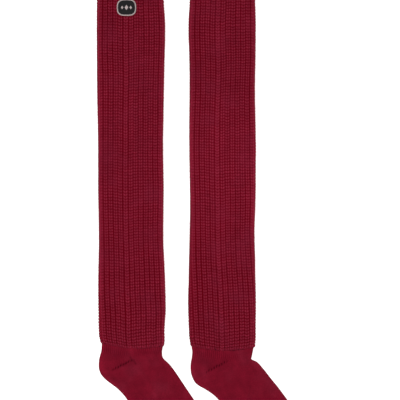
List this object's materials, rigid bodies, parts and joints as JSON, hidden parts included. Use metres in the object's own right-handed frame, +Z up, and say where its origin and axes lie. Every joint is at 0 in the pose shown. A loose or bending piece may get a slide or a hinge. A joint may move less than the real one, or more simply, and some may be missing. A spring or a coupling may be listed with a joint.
{
  "type": "pair of hiking socks",
  "caption": "Pair of over-the-knee hiking socks with thick ribbed legs, fine-knit feet and a small sewn badge, laid flat side by side to be worn as warm legwear.",
  "frame": {"origin": "under the middle of the pair's bounding box, on the surface that the socks lie on", "axes": "+Z up from the surface that the socks lie on, +Y along the legs towards the cuffs, +X across the legs from the left sock of the picture to the right one, the way the toes point"},
  "size_m": [0.3412, 0.7552, 0.009],
  "materials": {
    "rib_wool": "thick half-cardigan rib in dark red wool, matt with a soft short nap",
    "foot_wool": "fine smooth plain knit in dark red wool, matt",
    "badge_thread": "close satin stitching in pale thread, slightly shiny",
    "badge_cloth": "black twill weave, matt"
  },
  "bodies": {
    "root": {"left_leg": "rib_wool", "left_foot": "foot_wool", "right_leg": "rib_wool", "right_foot": "foot_wool", "left_badge_edge": "badge_thread", "left_badge_ground": "badge_cloth"}
  },
  "joints": []
}
